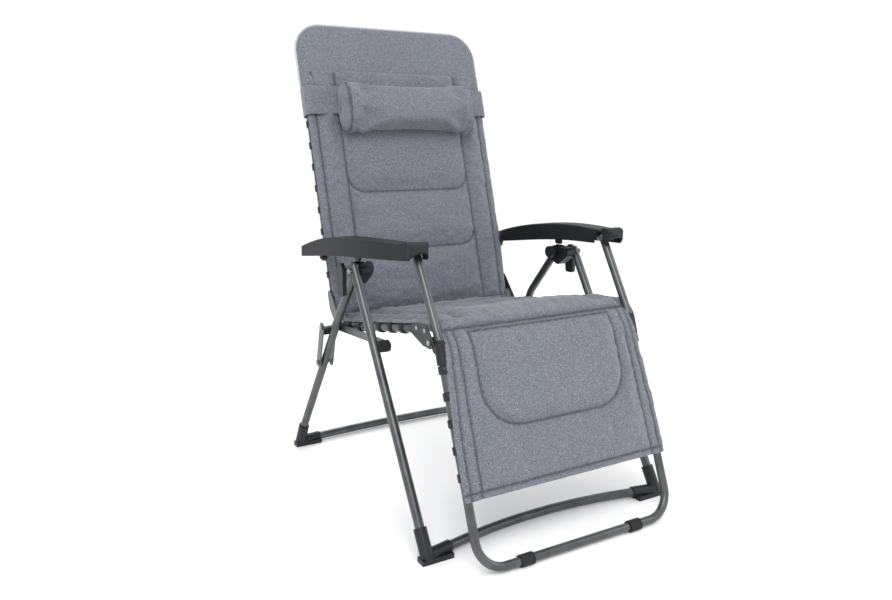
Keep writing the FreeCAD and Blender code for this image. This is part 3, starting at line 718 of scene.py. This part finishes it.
def piping(name, points, radius, material, body):
    """A round cord of binding along a line of points."""
    curve = bpy.data.curves.new(name, "CURVE")
    curve.dimensions = "3D"
    curve.bevel_depth = radius
    curve.bevel_resolution = 3
    curve.use_fill_caps = True
    spline = curve.splines.new("POLY")
    spline.points.add(len(points) - 1)
    for slot_point, place in zip(spline.points, points):
        slot_point.co = (*place, 1)
    rope = bpy.data.objects.new(name + "_curve", curve)
    bpy.context.scene.collection.objects.link(rope)
    graph = bpy.context.evaluated_depsgraph_get()
    mesh = bpy.data.meshes.new_from_object(rope.evaluated_get(graph))
    bpy.data.objects.remove(rope)
    mesh.name = name
    thing = new_object(name, mesh)
    mesh.materials.clear()
    mesh.materials.append(material)
    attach(thing, body)
    return thing


pale_binding = heather("pale_grey_piping", (("#9498a0", 0.36), ("#b4b8bf", 0.5), ("#d3d6db", 0.66)))
hood_edge = [on_back(-HOOD_HALF, HOOD_LOW + 2 + k * 12) for k in range(9)]
for turn in range(13):
    angle = math.pi / 2 * turn / 12
    hood_edge.append(on_back(-HOOD_HALF + HOOD_CORNER * (1 - math.cos(angle)),
                             HOOD_TOP - HOOD_CORNER * (1 - math.sin(angle))))
hood_edge += [Vector((-p.x, p.y, p.z)) for p in reversed(hood_edge)]
piping("hood_piping", hood_edge, 3.1 * MM, pale_binding, "back")

STRAP_LOW, STRAP_HIGH = 391, 473


def band_loop(half, front, behind, corner, steps=6):
    """A rounded rectangle round the back, as (x, out) pairs, once round from front right."""
    corners = ((half, front, 0), (-half, front, 90), (-half, behind, 180), (half, behind, 270))
    loop = []
    for x, out, first in corners:
        middle_x = x - math.copysign(corner, x)
        middle_out = out - math.copysign(corner, out)
        for k in range(steps + 1):
            angle = math.radians(first + 90 * k / steps)
            loop.append((middle_x + corner * math.cos(angle),
                         middle_out + corner * math.sin(angle)))
    return loop


loop = band_loop(293.5, 30, -17, 12)
dense = []
for one, two in zip(loop, loop[1:] + loop[:1]):
    pieces_between = max(int(math.hypot(two[0] - one[0], two[1] - one[1]) / 9), 1)
    dense += [(one[0] + (two[0] - one[0]) * k / pieces_between,
               one[1] + (two[1] - one[1]) * k / pieces_between) for k in range(pieces_between)]
strap_points, strap_faces = [], []
levels = 11
for i in range(levels):
    along = STRAP_LOW + (STRAP_HIGH - STRAP_LOW) * i / (levels - 1)
    for x, out in dense:
        ripple = noise.noise(Vector((x * 0.02, along * 0.05, out * 0.02))) * 1.4
        edge = min(i, levels - 1 - i)
        strap_points.append(tuple(on_back(x * (1 + ripple * 0.001), along,
                                          out + ripple - (0.8 if edge == 0 else 0))))
for i in range(levels - 1):
    for j in range(len(dense)):
        k = (j + 1) % len(dense)
        strap_faces.append((i * len(dense) + j, i * len(dense) + k,
                            (i + 1) * len(dense) + k, (i + 1) * len(dense) + j))
strap_mesh = bpy.data.meshes.new("pillow_band")
strap_mesh.from_pydata(strap_points, [], strap_faces)
band = new_object("pillow_band", strap_mesh)
build = bmesh.new()
build.from_mesh(strap_mesh)
bmesh.ops.recalc_face_normals(build, faces=build.faces)
bmesh.ops.solidify(build, geom=build.faces, thickness=2.2 * MM)
bmesh.ops.recalc_face_normals(build, faces=build.faces)
build.to_mesh(strap_mesh)
build.free()
subdivided(band)
band.data.materials.append(plain_weave)
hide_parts("pillow_strap")
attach(band, "head_pillow")


# Head pillow.
# A stuffed bolster of the same cloth, sewn to end discs whose seams gather the cloth. It is
# held to the back by the band.
PILLOW_AT, PILLOW_OUT, PILLOW_HALF = 399, 66, 196
PILLOW_TALL, PILLOW_DEEP, PILLOW_ROUND = 71, 45, 0.93


def pillow_point(x, turn, share=1):
    """A point of the pillow's oval section, at a share of its full size."""
    c, sn = math.cos(turn), math.sin(turn)
    tall = PILLOW_TALL * share * math.copysign(abs(c) ** PILLOW_ROUND, c)
    deep = PILLOW_DEEP * share * math.copysign(abs(sn) ** PILLOW_ROUND, sn)
    return tuple(on_back(x, PILLOW_AT + tall, PILLOW_OUT + deep))


rings, around = 44, 64
pillow_points, pillow_faces = [], []
for i in range(rings + 1):
    place = -PILLOW_HALF + 2 * PILLOW_HALF * i / rings
    for k in range(around):
        pillow_points.append(pillow_point(place, 2 * math.pi * k / around))
for i in range(rings):
    for k in range(around):
        n = (k + 1) % around
        pillow_faces.append((i * around + k, i * around + n, (i + 1) * around + n,
                             (i + 1) * around + k))
for ring, sign in ((0, -1), (rings, 1)):
    previous = [ring * around + k for k in range(around)]
    for share, bulge in ((0.8, 3), (0.5, 5), (0.2, 6)):
        current = []
        for k in range(around):
            current.append(len(pillow_points))
            pillow_points.append(pillow_point(sign * (PILLOW_HALF + bulge),
                                              2 * math.pi * k / around, share))
        for k in range(around):
            n = (k + 1) % around
            pillow_faces.append((previous[k], previous[n], current[n], current[k]))
        previous = current
    pillow_faces.append(tuple(previous))
pillow_mesh = bpy.data.meshes.new("head_pillow_cover")
pillow_mesh.from_pydata(pillow_points, [], pillow_faces)
pillow = new_object("head_pillow_cover", pillow_mesh)
build = bmesh.new()
build.from_mesh(pillow_mesh)
bmesh.ops.recalc_face_normals(build, faces=build.faces)
build.to_mesh(pillow_mesh)
build.free()
held = np.zeros(len(pillow_points))
for ring in (0, rings):
    held[ring * around:(ring + 1) * around] = 1
inflate(pillow, held, pressure=4.0, cap=11 * MM, slack=0.05)
subdivided(pillow)
# Painted shade: the pillow's end seams are marked so that the weave darkens the cloth where it gathers into them.
end_seam_shade_mask = np.zeros(len(pillow.data.vertices), np.float32)
middle = on_back(0, PILLOW_AT, PILLOW_OUT)
for k, vertex in enumerate(pillow.data.vertices):
    from_end = PILLOW_HALF - abs(vertex.co.x) / MM
    offset = vertex.co - middle
    offset.x = 0
    if offset.length < 1 * MM:
        continue
    turn = math.atan2(offset.dot(UP_BACK), offset.dot(BACK_OUT))
    if from_end > -1:
        gather = math.exp(-max(from_end, 0) / 26) * math.cos(
            15 * turn + 2.5 * noise.noise(Vector((turn * 2, vertex.co.x * 4, 3))))
        soft = noise.noise(Vector((vertex.co.x * 14, turn * 1.3, 6))) * 2.2
        vertex.co += offset.normalized() * (1.6 * gather + soft) * MM
    end_seam_shade_mask[k] = math.exp(-(from_end / 2.6) ** 2)
pillow.data.attributes.new("seam", "FLOAT", "POINT").data.foreach_set("value", end_seam_shade_mask)
pillow.data.materials.append(weave)
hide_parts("pillow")
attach(pillow, "head_pillow")


# Lacing clips and elastic.
# Moulded half-round clips hook over the side tubes, and a dark elastic cord is laced between
# them behind the cloth, taut at every clip.
def clip_pattern(inner, outer, wide):
    """A curved clip round a tube that lies along Z, open on the side of -X."""
    build = bmesh.new()
    steps, rings = 14, []
    for k in range(steps + 1):
        angle = math.radians(-118 + 236 * k / steps)
        c, sn = math.cos(angle), math.sin(angle)
        rings.append([build.verts.new((r * c, r * sn, z)) for r, z in
                      ((inner, -wide / 2), (outer, -wide / 2 + 1 * MM), (outer, wide / 2 - 1 * MM),
                       (inner, wide / 2))])
    for one, two in zip(rings, rings[1:]):
        for k in range(4):
            n = (k + 1) % 4
            build.faces.new((one[k], one[n], two[n], two[k]))
    build.faces.new(rings[0])
    build.faces.new(reversed(rings[-1]))
    bmesh.ops.recalc_face_normals(build, faces=build.faces)
    mesh = bpy.data.meshes.new("clip_pattern")
    build.to_mesh(mesh)
    build.free()
    return mesh


def laced_side(name, half, starts, run, out, count, pitch, tube, body):
    """Clips along both tubes of a frame, and the elastic laced between them."""
    places = []
    for sign in (-1, 1):
        outwards = Vector((sign, 0, 0))
        turn = Matrix((outwards, run.cross(outwards), run)).transposed()
        lacing = []
        for k in range(count):
            place = starts + run * (k * pitch)
            place.x = sign * half
            places.append((place, turn))
            lacing.append(place - out * (tube + 2.4 * MM) - outwards * 2 * MM)
            lacing.append(place + run * pitch / 2 - outwards * 34 * MM - out * 1 * MM)
        piping(f"{name}_lacing_{'right' if sign < 0 else 'left'}", lacing[:-1], 1.9 * MM,
               elastic, body)
    clip = clip_pattern(tube + 0.3 * MM, tube + 3.2 * MM, 19 * MM)
    made = repeats(name + "_clips", places, clip, nylon)
    clips = new_object(name + "_clips", made)
    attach(clips, body)


elastic = moulded("charcoal_elastic_cord", "#1c1e23", "#2e3138", 0.85, 1500)
laced_side("back", 277 * MM, BACK_LINE - UP_BACK * 118 * MM, UP_BACK, BACK_OUT, 9, 61 * MM,
           11 * MM, "back")
laced_side("seat", 275 * MM, SEAT_LINE + SEAT_RUN * 62 * MM, SEAT_RUN, SEAT_UP, 6, 62 * MM,
           11 * MM, "seat")
laced_side("leg", 272 * MM, LEG_LINE + LEG_RUN * 22 * MM, LEG_RUN, LEG_OUT, 5, 58 * MM,
           10 * MM, "footrest")


# Knob ribs.
# Each clamp knob and stay knob is moulded with a ring of grip ribs round its rim.
def ridge_ring(name, centre, radius, low_x, high_x, count, body, material):
    """Raised ribs round a knob whose axis lies along X."""
    places = []
    for k in range(count):
        angle = 2 * math.pi * k / count
        out = Vector((0, math.cos(angle), math.sin(angle)))
        run = Vector((1, 0, 0))
        turn = Matrix((run, out.cross(run), out)).transposed()
        place = Vector(((low_x + high_x) / 2, centre.y, centre.z)) + out * radius
        places.append((place, turn))
    made = repeats(name, places, capsule(abs(high_x - low_x), 2.4 * MM, 2.2 * MM), material)
    ring = new_object(name, made)
    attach(ring, body)


def ribbed(knob, name, end_gap, count, body, material):
    """Ribs round a CAD knob, from its own box."""
    low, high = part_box(knob)
    centre = (Vector(low) + Vector(high)) / 2
    ridge_ring(name, centre, (high[2] - low[2]) / 2 - 0.3 * MM, low[0] + end_gap,
               high[0] - end_gap, count, body, material)


for label in ("right", "left"):
    ribbed("clamp_knob_" + label, "clamp_knob_ribs_" + label, 1.5 * MM, 18, "base", nylon)
    ribbed("stay_knob_" + label, "stay_knob_ribs_" + label, 3 * MM, 16, f"stay_{label}_body",
           rubber)
